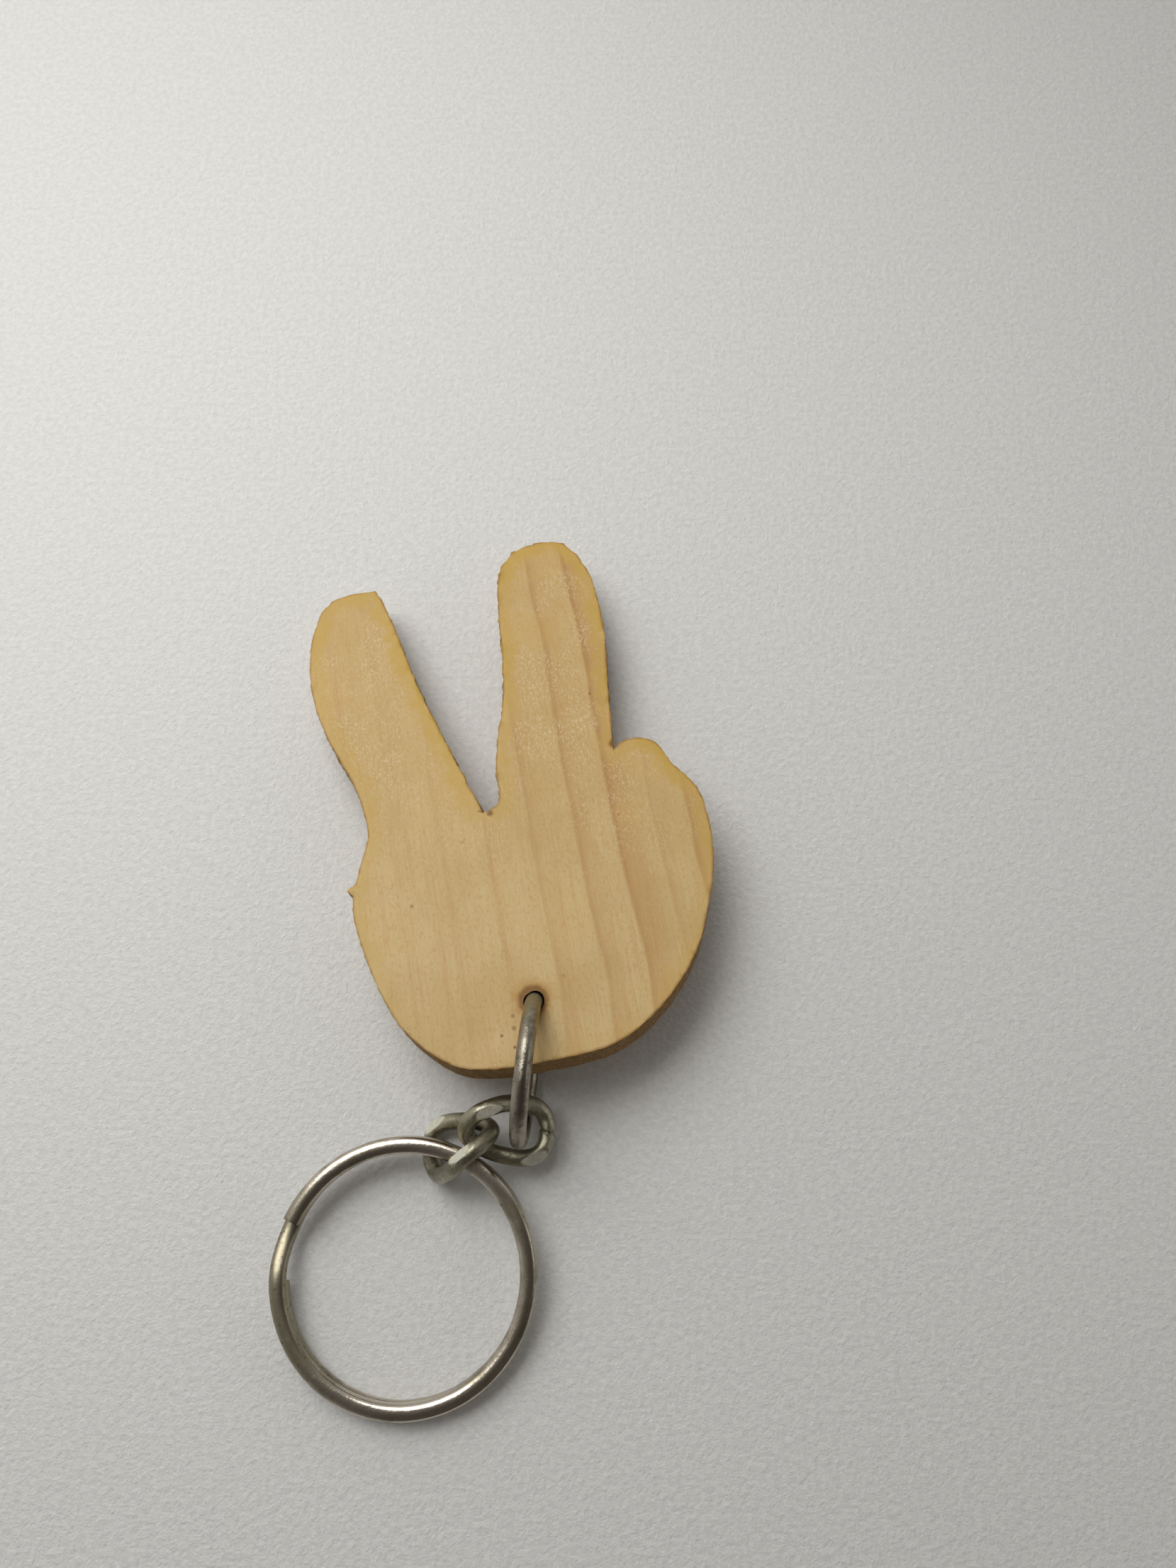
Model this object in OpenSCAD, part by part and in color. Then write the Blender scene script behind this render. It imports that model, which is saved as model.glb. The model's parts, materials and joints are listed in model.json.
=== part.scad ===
// Keychain: a flat wooden hand making a V sign, hung on a wire ring, two twisted links and a split ring.
// It lies on a table at z = 0 with the finger tips down and the palm propped up by the wire ring.

/* [Wooden hand] */
// Length from the lowest point of the palm to the tip of the long finger
hand_l = 65; // [56:0.1:80]
// Width of the palm
palm_w = 40; // [34:0.5:48]
// Thickness of the board
board_t = 5.5; // [4:0.1:6.6]
// Width of the long finger
long_finger_w = 12.8; // [10.5:0.1:15.5]
// Length of the long finger above its root
long_finger_l = 29.2; // [24:0.1:35.5]
// Width of the short finger
short_finger_w = 11; // [9:0.1:13.5]
// Length of the short finger above its root
short_finger_l = 26.5; // [22:0.1:32]
// How far the short finger leans away from the long one, in degrees
short_finger_lean = 19; // [12:1:26]

/* [Drilled hole] */
// Room left on each side of the curved wire where it passes through the hole
hole_room = 0.184; // [0.1:0.01:0.6]
// Distance of the hole's centre from the lowest point of the palm
hole_inset = 7.3; // [5:0.1:9]

/* [Wire ring] */
// Outer diameter of the wire ring
wire_ring_d = 16.2; // [14.5:0.1:20]
// Diameter of its wire
wire_ring_wire = 1.8; // [1.4:0.05:2]
// Gap between its butted ends
wire_ring_gap = 0.12; // [0.05:0.01:0.4]
// Turn of the ring about the hole, in degrees
wire_ring_turn = -6; // [-15:1:5]

/* [Chain links] */
// Outer length of a link
link_l = 11; // [10:0.1:13.5]
// Outer width of a link
link_w = 7.8; // [7.3:0.1:9.5]
// Diameter of the link wire
link_wire = 1.85; // [1.5:0.05:2]
// Rise and fall of the twisted wire above and below the middle plane
link_twist = 0.95; // [0.6:0.05:1.3]
// Depth that the rolled flats take off the highest and lowest wire
link_flat = 0.3; // [0.1:0.05:0.5]

/* [Split ring] */
// Outer diameter of the split ring
split_ring_d = 28; // [23:0.1:34]
// Width of its wire, across the coil
split_wire_w = 1.85; // [1.5:0.05:2.1]
// Height of one coil
split_wire_h = 1.4; // [1.1:0.05:1.6]
// Gap between the two coils
coil_gap = 0.08; // [0.04:0.01:0.2]
// Angle by which the two cut ends lie apart
split_lap = 27; // [20:1:40]

/* [Lie on the table] */
// Place of the hole over the table
hole_at = [3.9, -8.2]; // [-20:0.1:20]
// Turn of the upper link about X, Y and Z, in degrees
upper_turn = [26, 25, -7]; // [-40:1:40]
// Turn of the lower link about X, Y and Z, in degrees
lower_turn = [-31, -46, 7]; // [-60:1:20]
// Play between the wire ring and the end of the upper link
upper_play = 1.15; // [0.6:0.05:1.3]
// Gap between pieces that lie on each other
lie_gap = 0.15; // [0.12:0.01:0.4]
// Direction from the split ring's centre to the lower link, in degrees
split_toward = 80; // [70:1:90]

/* [Hidden] */
curve_steps = 5;    // straight pieces between two points of the hand's outline
link_steps = 48;    // wire sections round a chain link
link_sides = 16;    // sides of a link's wire section
coil_step = 5.6;    // degrees between two sections of the split ring
coil_sides = 12;    // sides of a split ring section
$fn = 48;

function unit(v) = v / norm(v);
function about_x(p, a) = [p.x, p.y * cos(a) - p.z * sin(a), p.y * sin(a) + p.z * cos(a)];
function about_y(p, a) = [p.x * cos(a) + p.z * sin(a), p.y, p.z * cos(a) - p.x * sin(a)];
function about_z(p, a) = [p.x * cos(a) - p.y * sin(a), p.x * sin(a) + p.y * cos(a), p.z];
function turned(p, a) = about_z(about_y(about_x(p, a.x), a.y), a.z);
function ease(t) = t <= 0 ? 0 : t >= 1 ? 1 : t * t * (3 - 2 * t);

// ---- the hand's outline, x from the hole's centre line and y from the lowest point of the palm ----

// A smooth run through its points, from the first one up to the last one, without the last one itself
function run(p) = [for (i = [0 : len(p) - 2], k = [0 : curve_steps - 1])
    let (a = p[max(i - 1, 0)], b = p[i], c = p[i + 1], d = p[min(i + 2, len(p) - 1)], t = k / curve_steps)
    b + t / 2 * ((c - a) + t * ((2 * a - 5 * b + 4 * c - d) + t * (3 * (b - c) + d - a)))];

// A point of a finger: across as a share of its half width, along as a share of its length
function on_finger(root, lean, w, l, across, along) =
    root + across * w / 2 * [cos(lean), sin(lean)] + along * l * [-sin(lean), cos(lean)];

half = palm_w / 2;
knuckle_drop = 1.7;     // the folded thumb's outer corner lies this far below the long finger's root
knuckle_y = hand_l - long_finger_l - knuckle_drop;
long_root = [2, hand_l - long_finger_l];
long_lean = 3;
short_root = [-14.5, long_root.y - 4];
function long_at(across, along) =
    on_finger(long_root, long_lean, long_finger_w, long_finger_l, across, along);
function short_at(across, along) =
    on_finger(short_root, short_finger_lean, short_finger_w, short_finger_l, across, along);

// Between the fingers the saw stopped in a blunt corner
gap_bottom = [-6.1, long_root.y - 7];
// Where the folded thumb meets the long finger
thumb_notch = [long_root.x + long_finger_w / 2 + 0.3, long_root.y + 0.6];
thumb_corner = [half - 4.3, knuckle_y];

// Palm: down the right side, round the bottom and up the left side, then out along the short finger
palm_and_short_finger = run(concat(
    [thumb_corner, [half - 2.6, knuckle_y - 1.6], [half - 1.3, knuckle_y - 4], [half - 0.5, knuckle_y - 8]],
    [[half - 0.5, knuckle_y - 13], [half - 2.3, 13.2], [half - 6, 7.1], [half - 11.1, 2.8]],
    [[2, 0.9], [-5, 0], [10.8 - half, 0.9], [5.9 - half, 4.7], [2.2 - half, 11.1], [-half, 17.3]],
    [[0.4 - half, 22], [1 - half, 26.5]],
    [short_at(-1.1, 0.09), short_at(-1.37, 0.37), short_at(-1.41, 0.58), short_at(-1.21, 0.79)],
    [short_at(-0.93, 0.92), short_at(-0.6, 1), short_at(-0.18, 1.03), short_at(0.55, 1.01)]));
inside_of_short_finger = run([short_at(0.55, 1.01), short_at(0.65, 0.9), short_at(0.72, 0.71),
    short_at(0.8, 0.45), short_at(1.02, 0.11), gap_bottom]);
long_finger = run(concat([gap_bottom, long_at(-1.05, -0.19), long_at(-1.07, -0.04), long_at(-1.04, 0.08)],
    [long_at(-0.93, 0.25), long_at(-0.91, 0.45), long_at(-0.96, 0.62)],
    [for (a = [180 : -30 : 120]) long_at(0.91 * cos(a) - 0.05, 0.8 + 0.2 * sin(a))],
    [for (a = [80 : -20 : 20]) long_at(0.96 * cos(a), 0.6 + 0.4 * sin(a))],
    [long_at(1.02, 0.5), long_at(1.02, 0.23), thumb_notch]));
thumb = run([thumb_notch, thumb_notch + [1, 1.1], thumb_notch + [2.8, 1.4], thumb_notch + [4.8, 0.9],
    thumb_corner]);
outline = concat(palm_and_short_finger, inside_of_short_finger, long_finger, thumb);

// ---- how the hand and the wire ring hold each other up ----

wire_ring_r = (wire_ring_d - wire_ring_wire) / 2;
// In the board the curved wire reaches from its inner side at the faces to its outer side at mid thickness
passage_near = sqrt(pow(wire_ring_r - wire_ring_wire / 2, 2) - pow(board_t / 2, 2));
passage_far = wire_ring_r + wire_ring_wire / 2;
hole_d = passage_far - passage_near + 2 * hole_room;
seat_r = (passage_near + passage_far) / 2;      // the hole's axis lies midway between the two
tip_reach = hand_l - hole_inset;
// Tilt at which the long finger's tip touches the table while the ring stands on it
ring_to_tip = tip_reach + seat_r;
hand_tilt = asin(wire_ring_d / 2 / norm([ring_to_tip, board_t / 2])) - atan2(board_t / 2, ring_to_tip);
short_tip = short_at(0, 1) - [0, hole_inset];
// Roll at which the short finger's tip touches it too
hand_roll = asin((tip_reach - short_tip.y) * sin(hand_tilt) / -short_tip.x);
hole_z = wire_ring_d / 2 - seat_r * sin(hand_tilt);
along_ring = [sin(wire_ring_turn), -cos(wire_ring_turn), 0];
ring_centre = [hole_at.x, hole_at.y, wire_ring_d / 2] + along_ring * seat_r * cos(hand_tilt);

// ---- the links: each lies against the last one ----

half_l = (link_l - link_wire) / 2;
half_w = (link_w - link_wire) / 2;
oval = 0.85;    // roundness of a link: 1 is an ellipse, less is squarer
function eased(v) = sign(v) * pow(abs(v), oval);
function link_line(a) = [half_l * eased(cos(a)), half_w * eased(sin(a)), -link_twist * sin(2 * a)];
link_angles = [for (i = [0 : link_steps - 1]) 360 * i / link_steps];

upper_axis = turned([1, 0, 0], upper_turn);
lower_axis = turned([1, 0, 0], lower_turn);
// From the wire of the upper link's left end to the wire of the lower link's raised end, beside it.
// A slender link has a narrow end, so there the lower link lies nearer the upper link's long axis.
end_step = [0.9, 0.4 * half_l / half_w - 1.56, 0.38];       // in wires with their gap
end_to_end = end_step * (link_wire + lie_gap);
lower_z = link_wire / 2 - min([for (a = link_angles) turned(link_line(a), lower_turn).z]);
upper_z = lower_z + (lower_axis.z + upper_axis.z) * half_l - end_to_end.z;
upper_slide = link_l / 2 - link_wire - wire_ring_wire / 2 - upper_play;
// The wire ring's centre line where it passes through the upper link
through_z = upper_z + upper_slide * upper_axis.z;
through_drop = through_z - wire_ring_d / 2;
through = ring_centre + along_ring * sqrt(pow(wire_ring_r, 2) - pow(through_drop, 2)) + [0, 0, through_drop];
upper_at = through - upper_axis * upper_slide;
lower_xy = upper_at - upper_axis * half_l + end_to_end - lower_axis * half_l;
lower_at = [lower_xy.x, lower_xy.y, lower_z];

// ---- the split ring: its far side on the table, its near side on the lower link's low end ----

stack_h = 2 * split_wire_h + coil_gap;
coil_r = (split_ring_d - split_wire_w) / 2;
low_end = lower_at - lower_axis * half_l;
near_shift = [0.17, 0.39, 0];           // from the low end's middle to the wire that lies over it
rest_gaps = 3.6;        // the twisted wire rises under the coil, which lies this many gaps higher for it
near_side = low_end + near_shift + [0, 0, (link_wire + stack_h) / 2 + rest_gaps * lie_gap];
split_tilt = asin((near_side.z - stack_h / 2) / (2 * coil_r));
split_at = near_side - coil_r * [cos(split_toward) * cos(split_tilt), sin(split_toward) * cos(split_tilt),
    sin(split_tilt)];
top_end_at = 156;                       // direction of the top coil's cut end
coil_turn = 720 - split_lap;            // the wire's whole turn, from the top end to the bottom end
clear_of_ends = 2;                      // degrees left at each cut end before the wire changes layer
cross_from = 360 - split_lap + clear_of_ends / 2;
cross_to = 360 - clear_of_ends;
coil_sections = [for (i = [0 : round(coil_turn / coil_step)]) i * coil_turn / round(coil_turn / coil_step)];
function layer_z(t) = (split_wire_h + coil_gap) * (0.5 - ease((t - cross_from) / (cross_to - cross_from)));

// ---- wire swept along a line ----

// Side faces of a tube of n sections with m points each, closed into a ring or capped
function tube_sides(n, m, closed) = [for (i = [0 : n - (closed ? 1 : 2)], j = [0 : m - 1])
    let (k = (i + 1) % n, l = (j + 1) % m) [i * m + j, i * m + l, k * m + l, k * m + j]];
function tube_caps(n, m) = [[for (j = [m - 1 : -1 : 0]) j], [for (j = [0 : m - 1]) (n - 1) * m + j]];

module wooden_hand() {
    color("burlywood")
    translate([hole_at.x, hole_at.y, hole_z])
    rotate([-hand_tilt, -hand_roll, 0])
    difference() {
        translate([0, -hole_inset, -board_t / 2])
        linear_extrude(board_t)
        polygon(outline);
        translate([0, 0, -board_t])
        cylinder(h = 2 * board_t, d = hole_d);
    }
}

module wire_ring() {
    gap_angle = wire_ring_gap / wire_ring_r * 180 / PI;
    gap_at = -70;       // direction of the butted ends, in the ring's own plane
    color("slategray")
    translate(ring_centre)
    rotate([90, 0, wire_ring_turn - 90])
    rotate([0, 0, gap_at + gap_angle / 2])
    rotate_extrude(angle = 360 - gap_angle)
    translate([wire_ring_r, 0])
    circle(d = wire_ring_wire);
}

module curb_link() {
    flat_z = link_twist + link_wire / 2 - link_flat;
    aim = 2;            // degrees before and behind a point that give the wire's direction there
    function section(a) = let (
        along = unit(link_line(a + aim) - link_line(a - aim)),
        side = unit(cross(along, [0, 0, 1])),
        up = cross(side, along))
        [for (j = [0 : link_sides - 1]) let (b = 360 * j / link_sides,
            p = link_line(a) + link_wire / 2 * (cos(b) * side + sin(b) * up))
            [p.x, p.y, min(max(p.z, -flat_z), flat_z)]];
    points = [for (a = link_angles, p = section(a)) p];
    polyhedron(points, tube_sides(link_steps, link_sides, true));
}

module curb_link_upper() {
    color("darkkhaki")
    translate(upper_at)
    rotate(upper_turn)
    curb_link();
}

module curb_link_lower() {
    color("tan")
    translate(lower_at)
    rotate(lower_turn)
    curb_link();
}

module split_ring() {
    corner = 0.85;      // squareness of the wire: 1 is an ellipse, less is squarer
    function bent(v) = sign(v) * pow(abs(v), corner);
    points = [for (t = coil_sections, j = [0 : coil_sides - 1]) let (
        b = -360 * j / coil_sides,         // backwards, so that the faces look outwards
        r = coil_r + split_wire_w / 2 * bent(cos(b)),
        a = top_end_at - t)
        [r * cos(a), r * sin(a), layer_z(t) + split_wire_h / 2 * bent(sin(b))]];
    n = len(coil_sections);
    color("silver")
    translate(split_at)
    rotate([0, 0, split_toward])
    rotate([0, -split_tilt, 0])
    rotate([0, 0, -split_toward])
    polyhedron(points, concat(tube_sides(n, coil_sides, false), tube_caps(n, coil_sides)));
}

wooden_hand();
wire_ring();
curb_link_upper();
curb_link_lower();
split_ring();
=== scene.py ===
import json
import math

import bmesh
import bpy
import numpy as np
from mathutils import Matrix, Vector


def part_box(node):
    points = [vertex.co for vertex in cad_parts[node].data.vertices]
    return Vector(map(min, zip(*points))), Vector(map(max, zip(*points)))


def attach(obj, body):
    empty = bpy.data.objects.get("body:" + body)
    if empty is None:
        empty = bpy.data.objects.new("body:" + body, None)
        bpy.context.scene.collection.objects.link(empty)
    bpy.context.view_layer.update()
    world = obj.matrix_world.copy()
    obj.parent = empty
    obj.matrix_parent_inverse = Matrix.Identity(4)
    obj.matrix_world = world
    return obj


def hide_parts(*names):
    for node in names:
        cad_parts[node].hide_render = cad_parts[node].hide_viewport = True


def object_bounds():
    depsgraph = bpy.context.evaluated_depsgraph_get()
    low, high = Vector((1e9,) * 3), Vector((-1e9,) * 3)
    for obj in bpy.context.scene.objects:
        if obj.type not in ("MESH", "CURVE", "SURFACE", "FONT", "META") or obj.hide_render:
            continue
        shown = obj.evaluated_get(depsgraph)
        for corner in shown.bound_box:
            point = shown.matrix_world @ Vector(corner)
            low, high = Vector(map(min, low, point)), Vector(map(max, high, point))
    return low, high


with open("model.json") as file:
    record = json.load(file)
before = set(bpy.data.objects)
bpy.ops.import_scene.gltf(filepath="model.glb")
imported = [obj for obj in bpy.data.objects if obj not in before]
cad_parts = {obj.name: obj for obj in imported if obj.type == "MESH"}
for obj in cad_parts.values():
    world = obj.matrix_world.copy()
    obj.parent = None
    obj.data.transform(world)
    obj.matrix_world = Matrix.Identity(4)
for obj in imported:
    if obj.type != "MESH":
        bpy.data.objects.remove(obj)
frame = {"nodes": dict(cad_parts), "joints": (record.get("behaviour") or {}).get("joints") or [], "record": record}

cad_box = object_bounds()

MM = 0.001

# ---- where things are, from the frame ----

joints = {joint["name"]: joint for joint in frame["joints"]}
mounts = {mount["name"]: mount for mount in frame["record"]["mounts"]}
hole = Vector(joints["wire_ring_swing"]["pos_m"])
board_normal = Vector(joints["wire_ring_swing"]["axis"]).normalized()
board_tilt = math.asin(board_normal.y)
board_roll = math.atan2(-board_normal.x, board_normal.z)
# Board space: millimetres from the drilled hole, x across the palm, y to the finger tips, z out of the face
board_turn = Matrix.Rotation(-board_roll, 4, "Y") @ Matrix.Rotation(-board_tilt, 4, "X")
board_place = Matrix.Translation(hole) @ board_turn @ Matrix.Scale(MM, 4)

key_loop = Vector(mounts["key_loop"]["pos_m"])
loop_normal = Vector(mounts["key_loop"]["axis"]).normalized()
loop_turn = loop_normal.to_track_quat("Z", "Y").to_matrix().to_4x4()


# ---- selecting and shaping ----

def deselect_all():
    if bpy.context.object and bpy.context.object.mode != "OBJECT":
        bpy.ops.object.mode_set(mode="OBJECT")
    bpy.ops.object.select_all(action="DESELECT")


def pick(piece):
    """Makes a piece the only selected object."""
    deselect_all()
    piece.select_set(True)
    bpy.context.view_layer.objects.active = piece


def edit(piece):
    pick(piece)
    bpy.ops.object.mode_set(mode="EDIT")
    bpy.ops.mesh.select_mode(type="VERT")
    bpy.ops.mesh.select_all(action="DESELECT")


def done():
    bpy.ops.object.mode_set(mode="OBJECT")


def merged_copy(node, name):
    """A copy of a CAD piece's mesh with its loose triangles joined, ready for finer work."""
    source = frame["nodes"][node]
    piece = bpy.data.objects.new(name, source.data.copy())
    piece.data.name = name
    bpy.context.scene.collection.objects.link(piece)
    piece.data.materials.clear()
    edit(piece)
    bpy.ops.mesh.select_all(action="SELECT")
    bpy.ops.mesh.remove_doubles(threshold=2e-6)
    bpy.ops.mesh.customdata_custom_splitnormals_clear()
    done()
    return piece


def apply(piece, modifier):
    pick(piece)
    bpy.ops.object.modifier_apply(modifier=modifier.name)


def positions(piece):
    co = np.zeros(len(piece.data.vertices) * 3)
    piece.data.vertices.foreach_get("co", co)
    return co.reshape(-1, 3)


def in_space(points, place):
    """Points in the space whose placing matrix is given."""
    back = np.array(place.inverted())
    return points @ back[:3, :3].T + back[:3, 3]


def weight(piece, name, values):
    """A vertex group from one value for each vertex."""
    group = piece.vertex_groups.new(name=name)
    for index, value in enumerate(values):
        if value > 0:
            group.add([index], float(min(value, 1)), "REPLACE")


def join_quads(piece, angle):
    """Joins pairs of triangles into four-sided faces where they meet at less than an angle in degrees."""
    limit = math.radians(angle)
    edit(piece)
    bpy.ops.mesh.select_all(action="SELECT")
    bpy.ops.mesh.tris_convert_to_quads(face_threshold=limit, shape_threshold=limit)
    done()


def round_off(piece):
    """Subdivides a piece twice, round except at its creased edges."""
    rounder = piece.modifiers.new("rounder", "SUBSURF")
    rounder.levels = 2
    rounder.render_levels = 2
    apply(piece, rounder)


def store(piece, name, values):
    """A named value on each vertex, for the material."""
    attribute = piece.data.attributes.new(name, "FLOAT", "POINT")
    attribute.data.foreach_set("value", np.asarray(values, np.float32))


def roughen(piece, group, size, strength):
    """Pushes the surface in and out by a cloudy noise: size and strength in metres."""
    cloud = bpy.data.textures.new(piece.name + "_" + group, "CLOUDS")
    cloud.noise_scale = size
    cloud.noise_depth = 2
    push = piece.modifiers.new("roughen", "DISPLACE")
    push.texture = cloud
    push.texture_coords = "LOCAL"
    push.strength = strength
    push.mid_level = 0.5
    push.vertex_group = group
    apply(piece, push)
    bpy.data.textures.remove(cloud)


def smooth_step(values, low, high):
    t = np.clip((values - low) / (high - low), 0, 1)
    return t * t * (3 - 2 * t)


def finish_piece(piece, body, node, material, angle=35):
    pick(piece)
    bpy.ops.object.shade_smooth_by_angle(angle=math.radians(angle))
    piece.data.materials.append(material)
    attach(piece, body)
    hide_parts(node)


def board_half_thickness():
    return float(in_space(positions(frame["nodes"]["wooden_hand"]), board_place)[:, 2].max())


# ---- a small hand for node materials ----

class Finish:
    """A material being put together: each call adds nodes and gives the socket that they end in."""

    def __init__(self, name):
        self.material = bpy.data.materials.new(name)
        self.material.use_nodes = True
        self.tree = self.material.node_tree
        self.shader = self.tree.nodes["Principled BSDF"]
        self.object_space = self.add("ShaderNodeTexCoord").outputs["Object"]

    def add(self, kind, **settings):
        node = self.tree.nodes.new(kind)
        for key, value in settings.items():
            setattr(node, key, value)
        return node

    def feed(self, socket, value):
        if isinstance(value, bpy.types.NodeSocket):
            self.tree.links.new(value, socket)
        else:
            socket.default_value = value

    def math(self, operation, *values, clamp=False):
        node = self.add("ShaderNodeMath", operation=operation, use_clamp=clamp)
        for socket, value in zip(node.inputs, values):
            self.feed(socket, value)
        return node.outputs[0]

    def vector(self, operation, *values):
        node = self.add("ShaderNodeVectorMath", operation=operation)
        for socket, value in zip(node.inputs, values):
            self.feed(socket, value)
        return node.outputs["Value" if operation in ("LENGTH", "DISTANCE") else "Vector"]

    def space(self, place, turn):
        """Millimetres in a space that sits at place, turned by turn (Euler angles)."""
        node = self.add("ShaderNodeMapping", vector_type="TEXTURE")
        self.feed(node.inputs["Vector"], self.object_space)
        node.inputs["Location"].default_value = place
        node.inputs["Rotation"].default_value = turn
        node.inputs["Scale"].default_value = (MM, MM, MM)
        return node.outputs[0]

    def stretched(self, vector, scale):
        """The same space with each direction multiplied."""
        return self.vector("MULTIPLY", vector, scale)

    def parts(self, vector):
        node = self.add("ShaderNodeSeparateXYZ")
        self.feed(node.inputs[0], vector)
        return node.outputs

    def noise(self, vector, scale=1.0, detail=3.0, rough=0.55, distortion=0.0):
        node = self.add("ShaderNodeTexNoise")
        self.feed(node.inputs["Vector"], vector)
        node.inputs["Scale"].default_value = scale
        node.inputs["Detail"].default_value = detail
        node.inputs["Roughness"].default_value = rough
        node.inputs["Distortion"].default_value = distortion
        return node.outputs["Fac"]

    def between(self, value, low, high):
        """0 below low and 1 above high, smooth between them; high may be the lower one."""
        node = self.add("ShaderNodeMapRange", interpolation_type="SMOOTHSTEP")
        self.feed(node.inputs["Value"], value)
        flipped = low > high
        node.inputs["From Min"].default_value = high if flipped else low
        node.inputs["From Max"].default_value = low if flipped else high
        node.inputs["To Min"].default_value = 1.0 if flipped else 0.0
        node.inputs["To Max"].default_value = 0.0 if flipped else 1.0
        return node.outputs["Result"]

    def range(self, value, low, high):
        """Spreads a 0 to 1 value from low to high."""
        return self.math("MULTIPLY_ADD", value, high - low, low)

    def mix(self, share, first, second):
        node = self.add("ShaderNodeMix", data_type="RGBA")
        self.feed(node.inputs["Factor"], share)
        self.feed(node.inputs["A"], colour(first))
        self.feed(node.inputs["B"], colour(second))
        return node.outputs["Result"]

    def value_of(self, name):
        node = self.add("ShaderNodeAttribute", attribute_name=name)
        return node.outputs["Fac"]

    def blob(self, space, x, y, z, radius, soft):
        """1 inside a ball, fading to 0 at its radius."""
        gap = self.vector("DISTANCE", space, (x, y, z))
        return self.between(gap, radius, radius * (1 - soft))

    def bump(self, height, distance, strength, under=None):
        node = self.add("ShaderNodeBump")
        node.inputs["Strength"].default_value = strength
        node.inputs["Distance"].default_value = distance
        self.feed(node.inputs["Height"], height)
        if under is not None:
            self.feed(node.inputs["Normal"], under)
        return node.outputs["Normal"]


def colour(value):
    """An RGB triple with its alpha, or a socket as it is."""
    if isinstance(value, bpy.types.NodeSocket):
        return value
    return (*value, 1.0)


# ---- the wood ----

GRAIN_LEAN = math.radians(10.5)
# A splinter on the palm's left edge, in board space
SPLINTER = (-20.0, 12.3)
# Growth rings: millimetres across the grain from the hole, how dark the line is, and how far it fades
GROWTH_RINGS = [(-17.2, 0.16, 3.5), (-12.6, 0.14, 3.0), (-7.4, 0.2, 3.4), (-2.4, 0.26, 3.2),
                (2.9, 0.45, 3.2), (8.0, 0.66, 3.0), (12.5, 1.0, 4.6), (16.9, 0.3, 2.4), (20.7, 0.85, 3.2)]
# Resin spots and pits on the face: x, y and radius in millimetres, and how dark they are
FACE_SPOTS = [(-5.3, 21.3, 0.55, 0.9), (8.6, 29.8, 0.75, 0.85), (-19.8, 14.5, 0.5, 0.6),
              (-13.5, 10.4, 0.3, 0.6), (5.9, 36.3, 0.22, 0.8), (-2.1, -1.7, 0.34, 0.55),
              (-1.95, -3.0, 0.36, 0.6), (-3.2, -3.8, 0.26, 0.8), (-1.8, -5.0, 0.26, 0.85),
              (3.2, 2.6, 0.3, 0.3), (-8.3, 17.8, 0.35, 0.25), (9.2, 21.0, 0.2, 0.5)]


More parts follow.
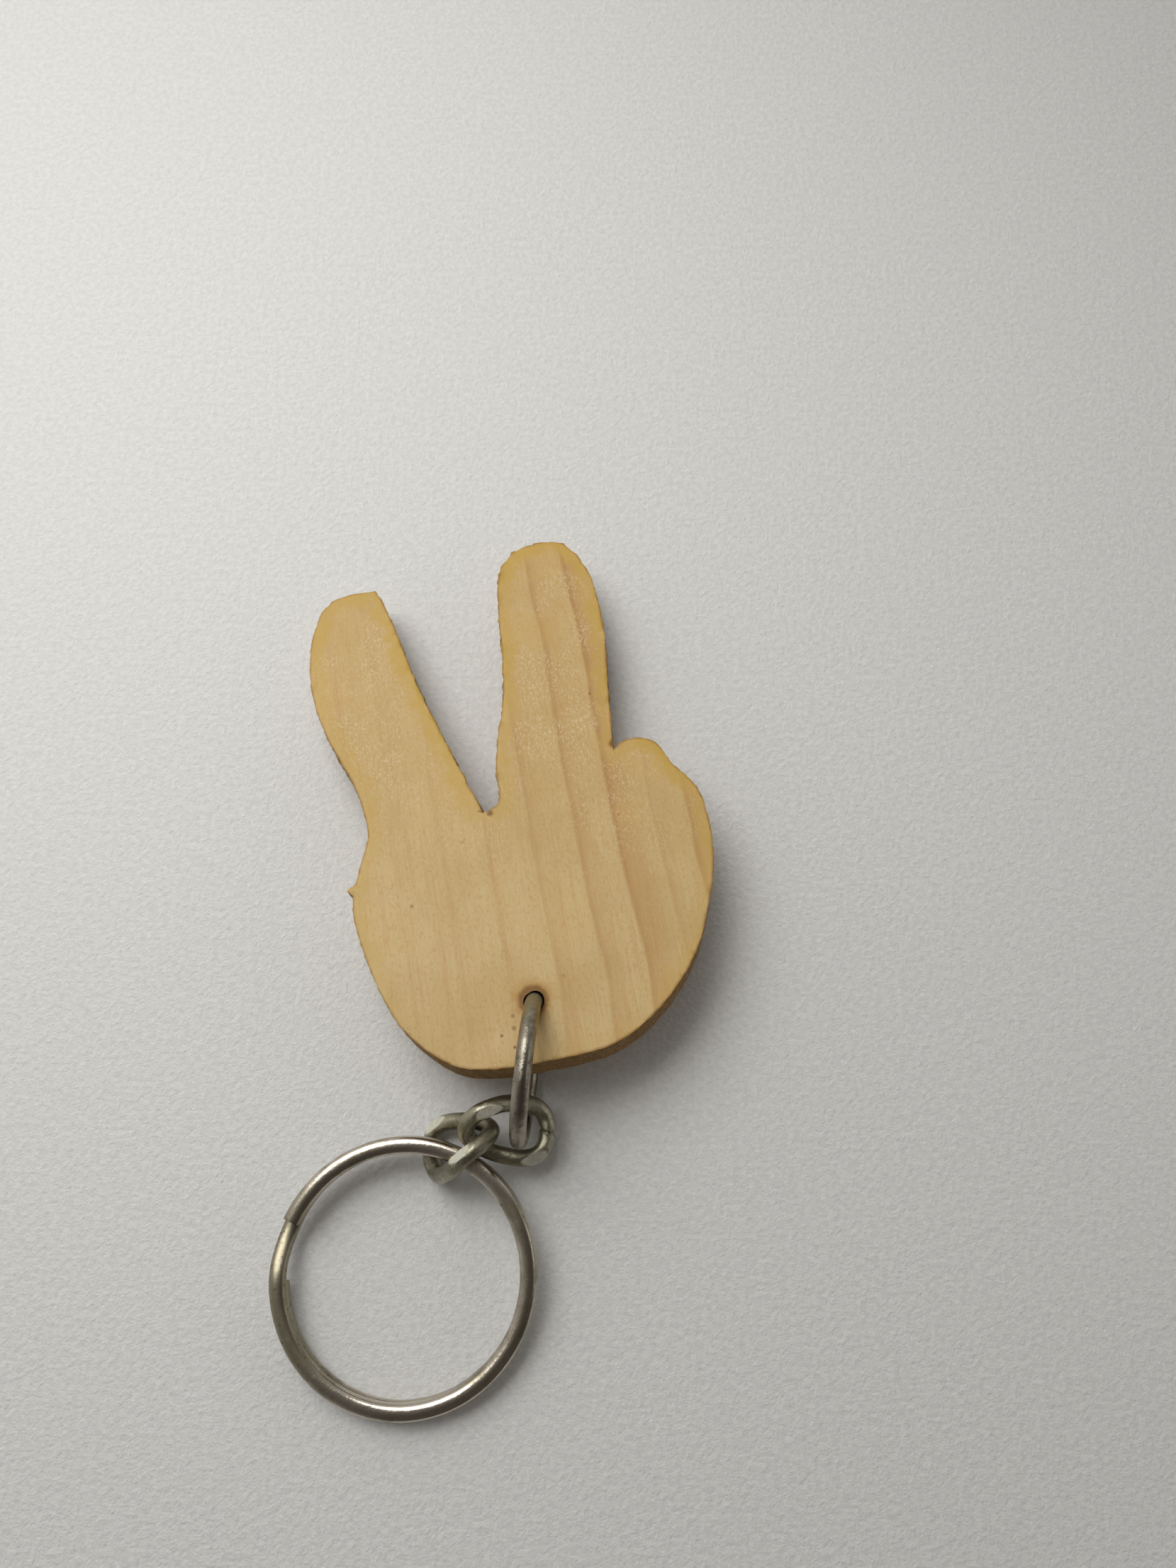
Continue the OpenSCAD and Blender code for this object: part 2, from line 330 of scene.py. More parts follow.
def lacquered_wood():
    finish = Finish("lacquered_softwood")
    board = finish.space(hole, (-board_tilt, -board_roll, 0))
    x, y = finish.parts(board)[:2]

    # Across and along the grain, with the slow wander that every board has
    across = finish.math("ADD", finish.math("MULTIPLY", x, math.cos(GRAIN_LEAN)),
                         finish.math("MULTIPLY", y, math.sin(GRAIN_LEAN)))
    wander = finish.noise(finish.stretched(board, (0.045, 0.05, 0.05)), 1.0, 2.0, 0.5)
    ripple = finish.noise(finish.stretched(board, (0.5, 0.11, 0.5)), 1.0, 2.0, 0.5)
    across = finish.math("ADD", across, finish.range(wander, -1.1, 1.1))
    across = finish.math("ADD", across, finish.range(ripple, -0.22, 0.22))

    rings = 0.0
    lines = 0.0
    for at, dark, fade in GROWTH_RINGS:
        past = finish.math("SUBTRACT", across, at)
        rise = finish.between(past, -0.35, 0.1)
        band = finish.math("MULTIPLY", rise, finish.between(past, fade, 0.0))
        rings = finish.math("MULTIPLY_ADD", band, dark, rings)
        line = finish.math("MULTIPLY", rise, finish.between(past, 0.75, 0.05))
        lines = finish.math("MULTIPLY_ADD", line, dark, lines)

    grain_space = finish.add("ShaderNodeMapping", vector_type="POINT")
    finish.feed(grain_space.inputs["Vector"], board)
    grain_space.inputs["Rotation"].default_value = (0, 0, -GRAIN_LEAN)
    grain = grain_space.outputs[0]
    fibre = finish.noise(finish.stretched(grain, (7.0, 0.22, 7.0)), 1.0, 4.0, 0.6)
    streak = finish.noise(finish.stretched(grain, (1.4, 0.045, 1.4)), 1.0, 3.0, 0.55)
    cloud = finish.noise(board, 0.11, 3.0, 0.5)
    speck = finish.noise(finish.stretched(grain, (5.5, 2.2, 5.5)), 1.0, 3.0, 0.6)

    # Pale early wood, browner toward the fingers, with darker late wood at each growth ring
    fingers = finish.between(y, 8.0, 30.0)
    wood = finish.mix(finish.between(cloud, 0.38, 0.62), (0.585, 0.415, 0.18), (0.64, 0.475, 0.232))
    wood = finish.mix(finish.range(fingers, 0.0, 0.5), wood, (0.535, 0.342, 0.115))
    wood = finish.mix(finish.range(finish.between(streak, 0.5, 0.72), 0.0, 0.55), wood, (0.57, 0.355, 0.155))
    ring_share = finish.math("MULTIPLY", rings, finish.range(fingers, 0.62, 0.66), clamp=True)
    wood = finish.mix(ring_share, wood, (0.47, 0.25, 0.072))
    line_share = finish.math("MULTIPLY", lines, finish.range(fingers, 0.3, 0.62), clamp=True)
    wood = finish.mix(line_share, wood, (0.37, 0.188, 0.062))
    wood = finish.mix(finish.range(finish.between(fibre, 0.42, 0.7), 0.0, 0.15), wood, (0.42, 0.24, 0.08))
    wood = finish.mix(finish.range(finish.between(fibre, 0.55, 0.3), 0.0, 0.1), wood, (0.76, 0.58, 0.32))
    # Fine amber mottle where the lacquer soaked into the pores
    pore = finish.noise(finish.stretched(grain, (3.4, 2.0, 3.4)), 1.0, 4.0, 0.7)
    wood = finish.mix(finish.range(finish.between(pore, 0.5, 0.64), 0.0, 0.6), wood, (0.53, 0.315, 0.095))

    # Dry fibres that took up little lacquer: whitish flecks on the fingers and the middle of the palm
    fleck_noise = finish.noise(finish.stretched(grain, (5.2, 2.6, 5.2)), 1.0, 4.0, 0.75)
    patch = finish.noise(board, 0.16, 3.0, 0.55)
    fleck = finish.math("MULTIPLY", finish.between(fleck_noise, 0.5, 0.62), finish.between(patch, 0.38, 0.58))
    fleck = finish.math("MULTIPLY", fleck, finish.range(fingers, 0.16, 0.72))
    wood = finish.mix(fleck, wood, (0.72, 0.575, 0.35))

    # Yellow lacquer that gathered along the sawn edge
    edge = finish.value_of("edge_mm")
    ragged = finish.noise(board, 0.55, 4.0, 0.65)
    reach = finish.range(ragged, -2.0, 2.2)
    band = finish.between(finish.math("ADD", edge, reach), 2.6, 0.8)
    thick = finish.range(finish.between(finish.noise(board, 0.09, 2.0, 0.5), 0.35, 0.6), 0.45, 1.0)
    where = finish.math("MULTIPLY", finish.value_of("lacquer"), thick)
    lacquer = finish.math("MULTIPLY", band, where)
    wood = finish.mix(finish.math("MULTIPLY", lacquer, 0.95), wood, (0.545, 0.348, 0.07))
    wood = finish.mix(finish.range(finish.between(cloud, 0.5, 0.7), 0.0, 0.24), wood, (0.6, 0.375, 0.1))

    # Spots, and the stained rim of the drilled hole
    for sx, sy, radius, dark in FACE_SPOTS:
        spot = finish.blob(board, sx, sy, 2.75, radius, 0.75)
        wood = finish.mix(finish.math("MULTIPLY", spot, dark), wood, (0.2, 0.07, 0.008))
    from_hole = finish.vector("LENGTH", finish.stretched(board, (1, 1, 0)))
    stain_edge = finish.math("ADD", from_hole, finish.range(finish.noise(board, 1.1, 3.0, 0.6), -0.8, 0.8))
    stain = finish.between(stain_edge, 2.8, 1.2)
    wood = finish.mix(finish.math("MULTIPLY", stain, 0.75), wood, (0.44, 0.22, 0.04))
    grime_edge = finish.math("ADD", from_hole, finish.range(finish.noise(board, 2.4, 3.0, 0.6), -0.22, 0.22))
    grime = finish.between(grime_edge, 1.85, 1.35)
    wood = finish.mix(finish.math("MULTIPLY", grime, 0.85), wood, (0.19, 0.085, 0.012))

    # Sawn wall: brown, torn across the fibres, with pale dust in its hollows
    wall = finish.value_of("wall")
    tear = finish.noise(finish.stretched(board, (1.6, 1.6, 3.2)), 1.0, 5.0, 0.65)
    saw = finish.noise(finish.stretched(board, (6.0, 6.0, 0.7)), 1.0, 3.0, 0.6)
    sawn = finish.mix(finish.between(tear, 0.38, 0.64), (0.345, 0.185, 0.06), (0.51, 0.325, 0.13))
    sawn = finish.mix(finish.range(finish.between(saw, 0.45, 0.62), 0.0, 0.35), sawn, (0.19, 0.088, 0.026))
    wood = finish.mix(wall, wood, sawn)
    rim = finish.between(finish.math("ADD", edge, finish.range(ragged, -0.25, 0.25)), 0.3, 0.02)
    rim = finish.math("MULTIPLY", rim, finish.math("SUBTRACT", 1.0, wall))
    wood = finish.mix(finish.math("MULTIPLY", rim, 0.6), wood, (0.3, 0.14, 0.03))

    finish.feed(finish.shader.inputs["Base Color"], wood)
    shine = finish.math("MULTIPLY_ADD", fleck, 0.16, finish.range(fibre, 0.36, 0.56))
    shine = finish.math("MULTIPLY_ADD", lacquer, -0.1, shine)
    shine = finish.math("MULTIPLY_ADD", wall, 0.3, shine)
    finish.feed(finish.shader.inputs["Roughness"], shine)
    finish.shader.inputs["Specular IOR Level"].default_value = 0.24

    relief = finish.math("ADD", finish.math("MULTIPLY", fibre, 0.5), finish.math("MULTIPLY", speck, 0.25))
    relief = finish.math("SUBTRACT", relief, finish.math("MULTIPLY", lines, 0.35))
    normal = finish.bump(relief, 0.06 * MM, 0.55)
    coarse = finish.math("MULTIPLY", finish.math("ADD", tear, saw), wall)
    normal = finish.bump(coarse, 0.5 * MM, 0.8, normal)
    finish.feed(finish.shader.inputs["Normal"], normal)
    return finish.material


# ---- the metals ----

def worn_metal(name, clean, dull, dirt, rough, patches, grit, marks, dull_region=None):
    """Metal wire with dull and dirty patches, scratches and dents; marks adds what is this wire's own."""
    finish = Finish(name)
    space = finish.space((0, 0, 0), (0, 0, 0))
    blotch = finish.noise(space, patches, 4.0, 0.6)
    fine = finish.noise(space, 2.6, 5.0, 0.65)
    scratch = finish.noise(finish.stretched(space, (3.0, 14.0, 3.0)), 1.0, 4.0, 0.6, 0.6)
    worn = finish.between(blotch, 0.42, 0.66)
    if dull_region is not None:
        worn = finish.math("MAXIMUM", worn, dull_region(finish, fine))
    metal = finish.mix(worn, clean, dull)
    dirty = finish.math("MULTIPLY", finish.between(fine, 0.54, 0.7), finish.range(worn, 0.5 * grit, 0.85))
    metal = finish.mix(dirty, metal, dirt)
    rub = finish.math("MULTIPLY_ADD", worn, rough[1] - rough[0], rough[0])
    rub = finish.math("MULTIPLY_ADD", dirty, 0.2, rub)
    rub = finish.math("MULTIPLY_ADD", finish.between(scratch, 0.5, 0.7), 0.1 * grit, rub)
    metal, rub = marks(finish, space, fine, metal, rub)
    finish.feed(finish.shader.inputs["Base Color"], metal)
    finish.feed(finish.shader.inputs["Roughness"], rub)
    normal = finish.bump(scratch, 0.025 * MM, 0.6 * grit)
    normal = finish.bump(fine, 0.08 * MM, 0.7 * grit, normal)
    finish.feed(finish.shader.inputs["Normal"], normal)
    return finish.material


def steel_wire():
    mouth = hole / MM + board_normal * board_half_thickness()

    def verdigris(finish, space, fine, metal, rub):
        # Greenish where the damp wood touches the wire
        near = finish.blob(space, *mouth, 4.6, 0.75)
        near = finish.math("MULTIPLY", near, finish.range(fine, 0.5, 1.3), clamp=True)
        metal = finish.mix(near, metal, (0.235, 0.235, 0.15))
        finish.feed(finish.shader.inputs["Metallic"], finish.range(near, 1.0, 0.6))
        return metal, finish.math("MULTIPLY_ADD", near, 0.16, rub)
    return worn_metal("grey_steel_wire", (0.335, 0.305, 0.245), (0.2, 0.18, 0.135), (0.055, 0.042, 0.026),
                      (0.17, 0.32), 0.5, 0.9, verdigris)


def nickel_links():
    low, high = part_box("curb_link_lower")
    brassy_at = Vector((low.x + 0.35 * (high.x - low.x), low.y + 0.7 * (high.y - low.y),
                        low.z + 0.75 * (high.z - low.z))) / MM

    def rubbed_flats_and_sheen(finish, space, fine, metal, rub):
        # The flats are rubbed bare, with fine lines over them, and their pale, less metallic colour is also a
        # painted sheen for the light they catch; brass shows through in one place
        flat = finish.math("MULTIPLY", finish.value_of("flat"), finish.range(fine, 0.45, 1.25), clamp=True)
        metal = finish.mix(flat, metal, (0.74, 0.73, 0.61))
        finish.feed(finish.shader.inputs["Metallic"], finish.range(flat, 0.97, 0.35))
        brass = finish.blob(space, *brassy_at, 2.2, 0.7)
        metal = finish.mix(finish.math("MULTIPLY", brass, 0.7), metal, (0.36, 0.25, 0.09))
        return metal, finish.math("MULTIPLY_ADD", flat, 0.06, rub)
    return worn_metal("dull_nickel_link", (0.37, 0.348, 0.258), (0.255, 0.24, 0.168), (0.08, 0.066, 0.035),
                      (0.27, 0.42), 0.42, 0.9, rubbed_flats_and_sheen)


def bright_nickel():
    def tarnish(finish, fine):
        # Dull from the split down to the lower left, where the plating has gone
        loop = finish.space(key_loop, loop_turn.to_euler())
        x, y = finish.parts(loop)[:2]
        angle = finish.math("ARCTAN2", y, finish.math("MULTIPLY", x, -1.0))
        wobble = finish.range(fine, -0.3, 0.3)
        near = finish.math("ABSOLUTE", finish.math("ADD", finish.math("ADD", angle, wobble), 0.3))
        return finish.between(near, 1.0, 0.45)

    def plated(finish, space, fine, metal, rub):
        finish.shader.inputs["Metallic"].default_value = 1.0
        return metal, rub
    return worn_metal("bright_nickel_spring", (0.58, 0.52, 0.44), (0.3, 0.27, 0.195), (0.1, 0.078, 0.045),
                      (0.13, 0.34), 0.16, 0.3, plated, tarnish)


# ---- the wooden hand ----

def outline_distance(points, outline):
    """Distance of each point from a closed outline, given as its straight pieces."""
    best = np.full(len(points), 1e9)
    for start, end in outline:
        along = end - start
        t = np.clip(((points - start) @ along) / max(along @ along, 1e-12), 0, 1)
        best = np.minimum(best, np.linalg.norm(points - start - t[:, None] * along, axis=1))
    return best


def cut_planes(piece, normal, places):
    """Cuts the whole mesh by parallel planes, in board millimetres."""
    world_normal = board_turn @ Vector(normal)
    edit(piece)
    for place in places:
        bpy.ops.mesh.select_all(action="SELECT")
        bpy.ops.mesh.bisect(plane_co=board_place @ (Vector(normal) * place), plane_no=world_normal)
    done()


def move_to(piece, board):
    """Puts each vertex at its new place in board space."""
    place = np.array(board_place)
    world = board @ place[:3, :3].T + place[:3, 3]
    piece.data.vertices.foreach_set("co", world.astype(np.float32).ravel())
    piece.data.update()


def raise_splinter(piece, half_t):
    """A nub of torn wood that the saw left standing on the palm's left side."""
    board = in_space(positions(piece), board_place)
    half_length = 0.42
    height = 0.8
    beside = np.exp(-((board[:, 1] - SPLINTER[1]) / half_length) ** 2)
    on_wall = 1 - smooth_step(np.abs(board[:, 0] - SPLINTER[0]), 0.35, 0.9)
    up = smooth_step(board[:, 2], -half_t, half_t * 0.4)
    board[:, 0] -= height * beside * on_wall * up
    move_to(piece, board)


def wire_ring_size():
    """The wire ring's middle, the direction from the hole to it, its centre-line radius and its wire."""
    low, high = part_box("wire_ring")
    centre = (low + high) / 2
    across = centre - hole
    across.z = 0
    across.normalize()
    cad = positions(frame["nodes"]["wire_ring"])
    wire = 2 * np.abs((cad - np.array(centre)) @ np.array((-across.y, across.x, 0))).max()
    return centre, across, (high.z - low.z - wire) / 2, wire


def soften_hole(piece, half_t):
    """Torn fibre closes the hole's mouths as far as the swinging wire lets it."""
    lip_depth = 1.9         # how far in from each face the hole narrows
    clear = 0.09            # left between the fibre and the wire
    swing_steps = 31
    centre, across, radius, wire = wire_ring_size()
    beside = centre + across.cross(Vector((0, 0, 1))) * MM
    middle, beside = in_space(np.array([centre, beside]), board_place)
    facing = beside - middle
    radius, wire = radius / MM, wire / MM
    low, high = [math.radians(end) for end in joints["wire_ring_swing"]["range_deg"]]
    board = in_space(positions(piece), board_place)
    away = np.hypot(board[:, 0], board[:, 1])
    depth = np.clip(np.abs(board[:, 2]), 0, half_t)
    in_wall = (away < 0.4 * radius) & (depth < half_t - 0.2)
    hole_r = away[in_wall].max()
    # How far the wire reaches out from the hole's axis beside each point, in all of its swing
    around = np.arctan2(board[:, 1], board[:, 0])
    needed = np.zeros(len(board))
    for swing in np.linspace(low, high, swing_steps):
        turn = np.array(Matrix.Rotation(swing, 3, "Z"))
        ring, axis = turn @ middle, turn @ facing
        level = np.cross((0, 0, 1), axis)
        level /= np.linalg.norm(level)
        rise = np.cross(axis, level)
        sine = (board[:, 2] - ring[2]) / (radius * rise[2])
        cosine = -np.sign(ring @ level) * np.sqrt(np.clip(1 - sine ** 2, 0.01, 1))
        wire_x = ring[0] + radius * (cosine * level[0] + sine * rise[0])
        wire_y = ring[1] + radius * (cosine * level[1] + sine * rise[1])
        reach = wire_x * np.cos(around) + wire_y * np.sin(around) + wire / 2 / np.abs(cosine * rise[2])
        needed = np.maximum(needed, reach + clear)
    mouth = 1 - smooth_step(half_t - depth, 0.2, lip_depth)
    on_hole = 1 - smooth_step(away, hole_r + 0.05, hole_r + 0.5)
    close = mouth * on_hole * np.clip(hole_r - needed, 0, None) / np.maximum(away, 0.01)
    board[:, 0] *= 1 - close
    board[:, 1] *= 1 - close
    move_to(piece, board)


def wooden_hand():
    piece = merged_copy("wooden_hand", "lacquered_hand")
    edit(piece)
    bpy.ops.mesh.select_all(action="SELECT")
    bpy.ops.mesh.dissolve_limited(angle_limit=math.radians(0.5))
    done()

    board = in_space(positions(piece), board_place)
    half_t = board[:, 2].max()
    rim_edges = []
    for edge in piece.data.edges:
        a, b = board[edge.vertices[0]], board[edge.vertices[1]]
        on_face = abs(a[2] - b[2]) < 0.01 and abs(abs(a[2]) - half_t) < 0.01
        if on_face and min(math.hypot(a[0], a[1]), math.hypot(b[0], b[1])) > 2.0:
            rim_edges.append((a, b, edge.index))
    mesh = bmesh.new()
    mesh.from_mesh(piece.data)
    mesh.edges.ensure_lookup_table()
    outline = []
    wanted = []
    for a, b, index in rim_edges:
        faces = mesh.edges[index].link_faces
        if len(faces) == 2 and abs(faces[0].normal.dot(faces[1].normal)) < 0.5:
            wanted.append(index)
            if a[2] > 0:
                outline.append((a[:2].copy(), b[:2].copy()))
    mesh.free()

    # Break the sawn edges, as a quick rub with sandpaper does
    broken = 0.16 * MM
    edit(piece)
    bpy.ops.mesh.select_mode(type="EDGE")
    shape = bmesh.from_edit_mesh(piece.data)
    shape.edges.ensure_lookup_table()
    for index in wanted:
        shape.edges[index].select_set(True)
    bmesh.update_edit_mesh(piece.data)
    bpy.ops.mesh.bevel(offset=broken, segments=2, affect="EDGES", clamp_overlap=True)
    done()

    # A grid over both faces and rows up the walls, fine enough for the saw's marks
    lo = board.min(0)
    hi = board.max(0)
    face_step = 0.62
    row_step = 0.42
    cut_planes(piece, (1, 0, 0), np.arange(lo[0] + face_step / 2, hi[0], face_step))
    cut_planes(piece, (0, 1, 0), np.arange(lo[1] + face_step / 2, hi[1], face_step))
    cut_planes(piece, (0, 1, 0), np.arange(SPLINTER[1] - 0.75, SPLINTER[1] + 0.8, 0.25))
    cut_planes(piece, (0, 0, 1), np.arange(-half_t + row_step, half_t - row_step / 2, row_step))
    edit(piece)
    bpy.ops.mesh.select_all(action="SELECT")
    bpy.ops.mesh.remove_doubles(threshold=0.03 * MM)
    done()

    soften_hole(piece, half_t)
    raise_splinter(piece, half_t)
    board = in_space(positions(piece), board_place)
    from_edge = outline_distance(board[:, :2], outline)
    from_hole = np.hypot(board[:, 0], board[:, 1])
    in_wall = from_edge < 0.03
    off_hole = from_hole > 2.4
    rough_here = smooth_step(board[:, 1], 14, 26)
    between_fingers = smooth_step(board[:, 1], 19, 23) * (board[:, 0] > -15) * (board[:, 0] < 0.5)
    thumb_edge = smooth_step(board[:, 0], 7, 9) * smooth_step(board[:, 1], 20, 26)
    ragged = np.clip(0.3 + 0.3 * rough_here + 0.6 * between_fingers + 0.3 * thumb_edge, 0, 1)
    near_wall = smooth_step(-from_edge, -0.35, -0.02)
    weight(piece, "ragged", near_wall * ragged * off_hole)
    weight(piece, "torn", in_wall * off_hole * np.clip(0.6 + 0.4 * between_fingers, 0, 1))
    weight(piece, "faces", (from_edge > 0.5) * (from_hole > 2.2))
    roughen(piece, "ragged", 0.75 * MM, 0.62 * MM)
    roughen(piece, "torn", 0.3 * MM, 0.34 * MM)
    roughen(piece, "faces", 5.0 * MM, 0.1 * MM)

    board = in_space(positions(piece), board_place)
    store(piece, "edge_mm", outline_distance(board[:, :2], outline))
    facing = np.zeros(len(piece.data.vertices) * 3)
    piece.data.vertices.foreach_get("normal", facing)
    flat = np.abs(facing.reshape(-1, 3) @ np.array(board_normal))
    store(piece, "wall", (1 - smooth_step(flat, 0.35, 0.8)) * (np.abs(board[:, 2]) < half_t - 0.1))
    # Little lacquer lies along the palm's rounded bottom, most on the fingers, the thumb and the two sides
    upper = smooth_step(board[:, 1], 8, 24)
    left = smooth_step(-board[:, 0], 12, 17)
    right = smooth_step(board[:, 0], 12, 17) * smooth_step(board[:, 1], -3, 6)
    store(piece, "lacquer", np.clip(0.1 + 0.9 * np.maximum(upper, 0.5 * np.maximum(left, right)), 0, 1))
    finish_piece(piece, "hand", "wooden_hand", lacquered_wood(), 40)


# ---- the wire ring ----

def wire_ring():
    centre, across, radius, wire = wire_ring_size()
    gap = 0.12 * MM / radius    # between the butted ends, as an angle
    butt = math.radians(-70)    # where they meet, from the level line away from the hole
    wire_sides = 28
    steps_round = 210

    # One cut end of the wire, spun round to the other end
    start = butt + gap / 2
    out = across * math.cos(start) + Vector((0, 0, math.sin(start)))
    along = -across * math.sin(start) + Vector((0, 0, math.cos(start)))
    turn = along.to_track_quat("Z", "Y").to_euler()
    deselect_all()
    bpy.ops.mesh.primitive_circle_add(vertices=wire_sides, radius=wire / 2, fill_type="NGON",
                                      location=centre + out * radius, rotation=turn)
    piece = bpy.context.object
    piece.name = "butted_wire_ring"
    bpy.ops.object.transform_apply(location=True, rotation=True, scale=True)
    edit(piece)
    bpy.ops.mesh.select_all(action="SELECT")
    spin_axis = across.cross(Vector((0, 0, 1)))
    bpy.ops.mesh.spin(steps=steps_round, angle=2 * math.pi - gap, center=centre, axis=spin_axis,
                      use_normal_flip=False)
    bpy.ops.mesh.select_all(action="SELECT")
    bpy.ops.mesh.remove_doubles(threshold=2e-6)
    bpy.ops.mesh.normals_make_consistent(inside=False)
    done()
    shape = positions(piece) - np.array(centre)
    angle = np.arctan2(shape[:, 2], shape @ np.array(across))
    # Pliers bit the wire on both sides of the butted ends
    from_butt = np.abs((angle - butt + math.pi) % (2 * math.pi) - math.pi)
    weight(piece, "bitten", 0.25 + 0.75 * (1 - smooth_step(from_butt, 0.25, 0.8)))
    weight(piece, "scuffed", np.ones(len(shape)))
    roughen(piece, "bitten", 1.1 * MM, 0.05 * MM)
    roughen(piece, "scuffed", 0.35 * MM, 0.014 * MM)
    finish_piece(piece, "wire_ring", "wire_ring", steel_wire())


# ---- the chain links ----

def link_axes(piece):
    """The link's middle, and its long, wide and thin directions, from its own spread of points."""
    points = positions(piece)
    middle = points.mean(0)
    axes = np.linalg.eigh(np.cov((points - middle).T))[1]
    thin, wide, long = axes.T
    return middle, long * np.sign(long[0]), wide * np.sign(wide[1]), thin * np.sign(thin[2])


def chain_link(node, name, body, material, seam=None):
    """A twisted link; seam is how far off its long axis, in millimetres, the ends of its wire meet."""
    nick_width = 0.17 * MM
    nick_depth = 0.26
    wire_core = 0.93 * MM       # from the link's end to the middle of its wire
    border = 0.05 * MM          # width over which a flat fades into the round wire
    piece = merged_copy(node, name)
    join_quads(piece, 60)
    # The rolled flats keep a crisp border
    middle, long, wide, thin = link_axes(piece)
    height = np.abs((positions(piece) - middle) @ thin)
    flat_height = height.max() - 0.02 * MM
    mesh = bmesh.new()
    mesh.from_mesh(piece.data)
    mesh.verts.ensure_lookup_table()
    crease = mesh.edges.layers.float.get("crease_edge") or mesh.edges.layers.float.new("crease_edge")
    for edge in mesh.edges:
        sides = [all(height[vert.index] > flat_height for vert in face.verts) for face in edge.link_faces]
        edge[crease] = 0.9 if len(sides) == 2 and sides[0] != sides[1] else 0.0
    mesh.to_mesh(piece.data)
    mesh.free()
    round_off(piece)
    shape = positions(piece) - middle
    height = np.abs(shape @ thin)
    if seam is not None:
        # The ends of the bent wire meet at one end of the link, in a nick all round it
        along, across = shape @ long, shape @ wide
        end = (along > 0) * np.exp(-((across - seam * MM) / nick_width) ** 2)
        core = middle + long * (along.max() - wire_core) + np.outer(across, wide)
        placed = positions(piece)
        placed += (core - placed) * (nick_depth * end)[:, None]
        piece.data.vertices.foreach_set("co", placed.astype(np.float32).ravel())
        piece.data.update()
    store(piece, "flat", smooth_step(height, flat_height - border, flat_height))
    weight(piece, "dented", 1 - 0.75 * smooth_step(height, flat_height - border, flat_height))
    roughen(piece, "dented", 1.3 * MM, 0.08 * MM)
    roughen(piece, "dented", 0.4 * MM, 0.024 * MM)
    finish_piece(piece, body, node, material, 22)


# ---- the split ring ----

def split_ring():
    piece = merged_copy("split_ring", "coiled_split_ring")
    join_quads(piece, 50)
    mesh = bmesh.new()
    mesh.from_mesh(piece.data)
    crease = mesh.edges.layers.float.get("crease_edge") or mesh.edges.layers.float.new("crease_edge")
    for edge in mesh.edges:
        if len(edge.link_faces) == 2 and edge.calc_face_angle() > math.radians(70):
            edge[crease] = 0.85
    mesh.to_mesh(piece.data)
    mesh.free()
    round_off(piece)
    weight(piece, "dented", np.ones(len(piece.data.vertices)))
    roughen(piece, "dented", 1.6 * MM, 0.035 * MM)
    finish_piece(piece, "key_ring", "split_ring", bright_nickel())


# ---- floor, light and camera ----

def table_top():
    deselect_all()
    bpy.ops.mesh.primitive_plane_add(size=3.0, location=(0, 0, cad_box[0].z - 0.02 * MM))
    table = bpy.context.object
    table.name = "table_top"
    finish = Finish("pale_table")
    space = finish.space((0, 0, 0), (0, 0, 0))
    mottle = finish.noise(space, 1.3, 3.0, 0.6)
    cloudy = finish.noise(space, 0.02, 2.0, 0.5)
    pale = finish.mix(finish.between(mottle, 0.35, 0.65), (0.695, 0.692, 0.678), (0.765, 0.762, 0.745))
    pale = finish.mix(finish.range(cloudy, 0.0, 0.2), pale, (0.68, 0.68, 0.68))
    finish.feed(finish.shader.inputs["Base Color"], pale)
    finish.shader.inputs["Roughness"].default_value = 0.55
    tooth = finish.noise(space, 1.7, 4.0, 0.65)
    finish.feed(finish.shader.inputs["Normal"], finish.bump(tooth, 0.22 * MM, 0.8))
    table.data.materials.append(finish.material)


def area_light(name, place, target, size, watts, tint):
    """A rectangular light at place, turned to target, all in millimetres."""
    data = bpy.data.lights.new(name, "AREA")
    data.shape = "RECTANGLE"
    data.size = size[0] * MM
    data.size_y = size[1] * MM
    data.energy = watts
    data.color = tint
    lamp = bpy.data.objects.new(name, data)
    bpy.context.scene.collection.objects.link(lamp)
    lamp.location = Vector(place) * MM
    lamp.rotation_euler = (Vector(target) * MM - lamp.location).to_track_quat("-Z", "Y").to_euler()
    return data


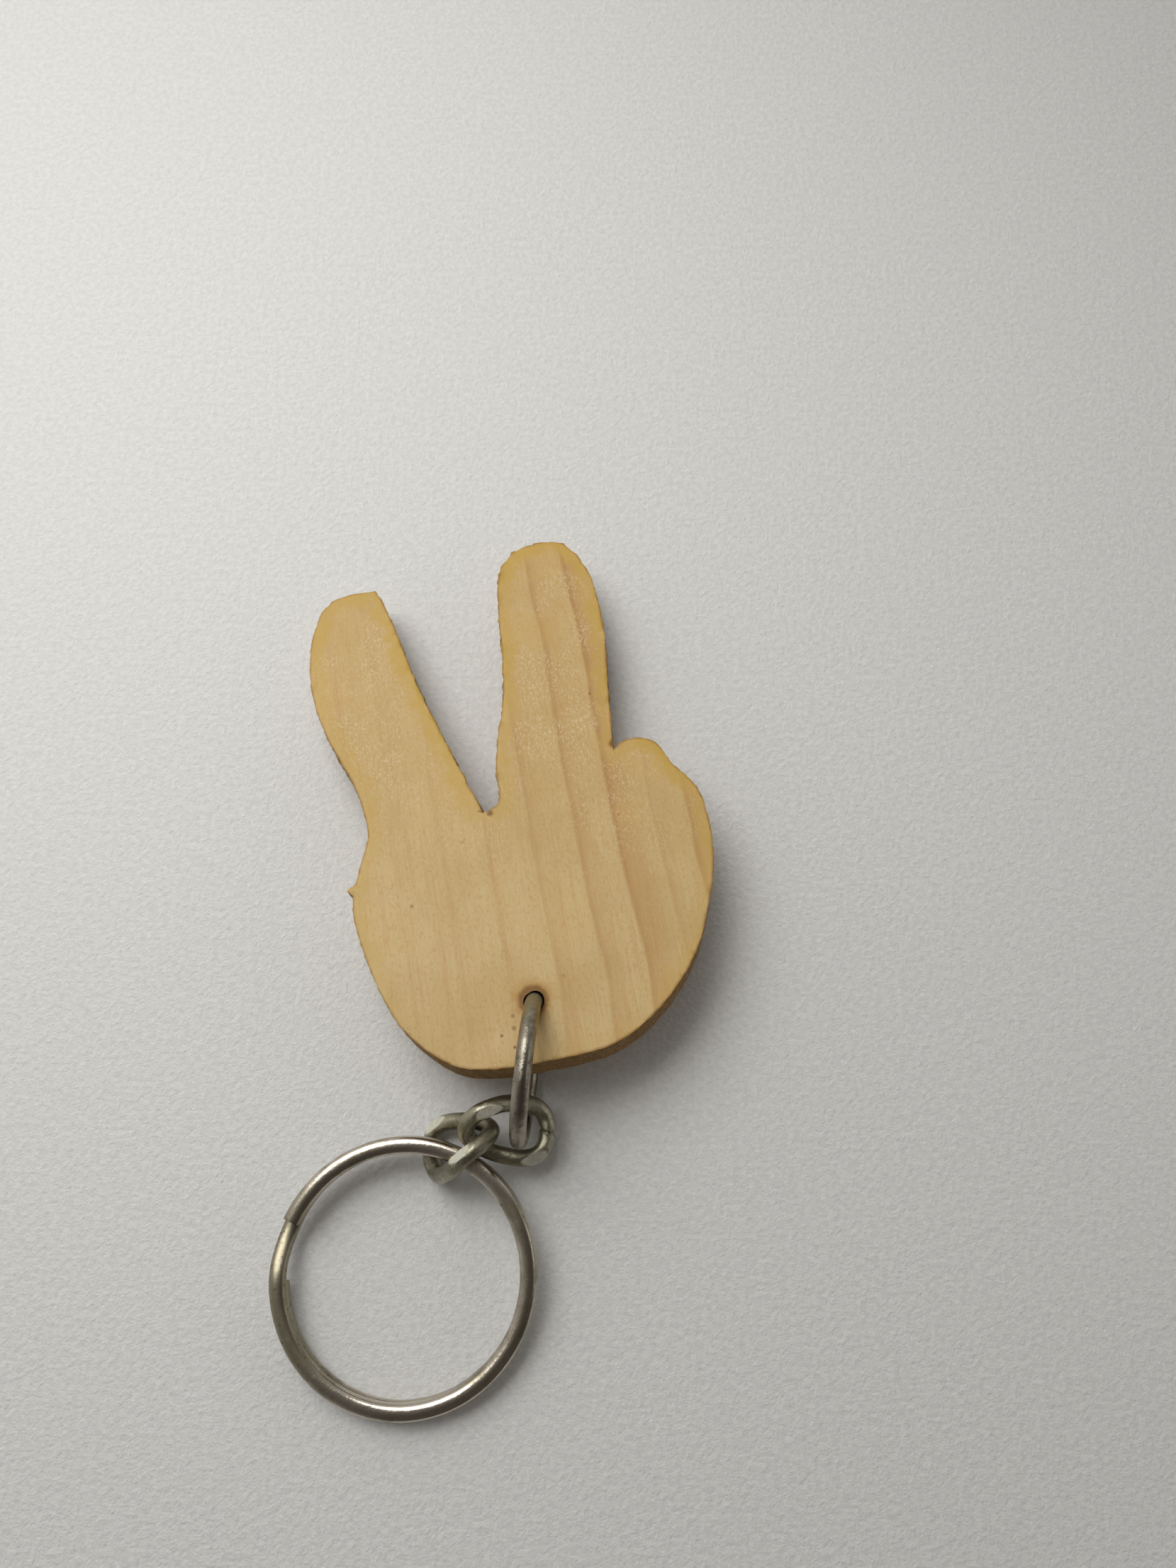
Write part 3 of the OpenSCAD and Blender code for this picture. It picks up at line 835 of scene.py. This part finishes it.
def studio():
    world = bpy.data.worlds.new("soft_room")
    bpy.context.scene.world = world
    world.use_nodes = True
    nodes = world.node_tree.nodes
    links = world.node_tree.links
    # A room that is bright toward its window, and dim overhead and on the near side
    sky = nodes.new("ShaderNodeTexCoord").outputs["Generated"]
    toward = nodes.new("ShaderNodeVectorMath")
    toward.operation = "DOT_PRODUCT"
    links.new(sky, toward.inputs[0])
    toward.inputs[1].default_value = Vector((-0.45, 0.65, -0.6)).normalized()
    spread = nodes.new("ShaderNodeMapRange")
    links.new(toward.outputs["Value"], spread.inputs["Value"])
    spread.inputs["From Min"].default_value = -1.0
    ramp = nodes.new("ShaderNodeValToRGB")
    links.new(spread.outputs["Result"], ramp.inputs[0])
    near_side, window_side = ramp.color_ramp.elements
    near_side.position = 0.12
    near_side.color = (0.07, 0.063, 0.056, 1)
    window_side.position = 0.9
    window_side.color = (0.75, 0.74, 0.72, 1)
    background = nodes["Background"]
    links.new(ramp.outputs[0], background.inputs["Color"])
    background.inputs["Strength"].default_value = 1.15
    window = area_light("window", (-155, 170, 310), (-80, 85, 0), (290, 290), 0.31, (1.0, 0.995, 0.975))
    window.spread = math.radians(84)
    area_light("white_wall", (260, -10, 110), (20, 0, 5), (180, 110), 0.05, (1.0, 0.985, 0.96))
    bpy.context.scene.view_settings.view_transform = "Standard"


def camera():
    """Nearly overhead, leaning back from the key ring's end."""
    data = bpy.data.cameras.new("overhead")
    view = bpy.data.objects.new("overhead", data)
    bpy.context.scene.collection.objects.link(view)
    bpy.context.scene.camera = view
    beyond_hole = (5.72, -19.14)
    height = 140
    lean = 18.5
    data.sensor_width = 36.0
    data.lens = 28.07
    data.clip_start = 5 * MM
    view.location = (hole.x + beyond_hole[0] * MM, hole.y + beyond_hole[1] * MM, height * MM)
    view.rotation_euler = (math.radians(lean), 0, 0)


camera()
studio()
table_top()
wooden_hand()
wire_ring()
link_finish = nickel_links()
chain_link("curb_link_upper", "twisted_link_upper", "upper_link", link_finish, seam=0.4)
chain_link("curb_link_lower", "twisted_link_lower", "lower_link", link_finish)
split_ring()
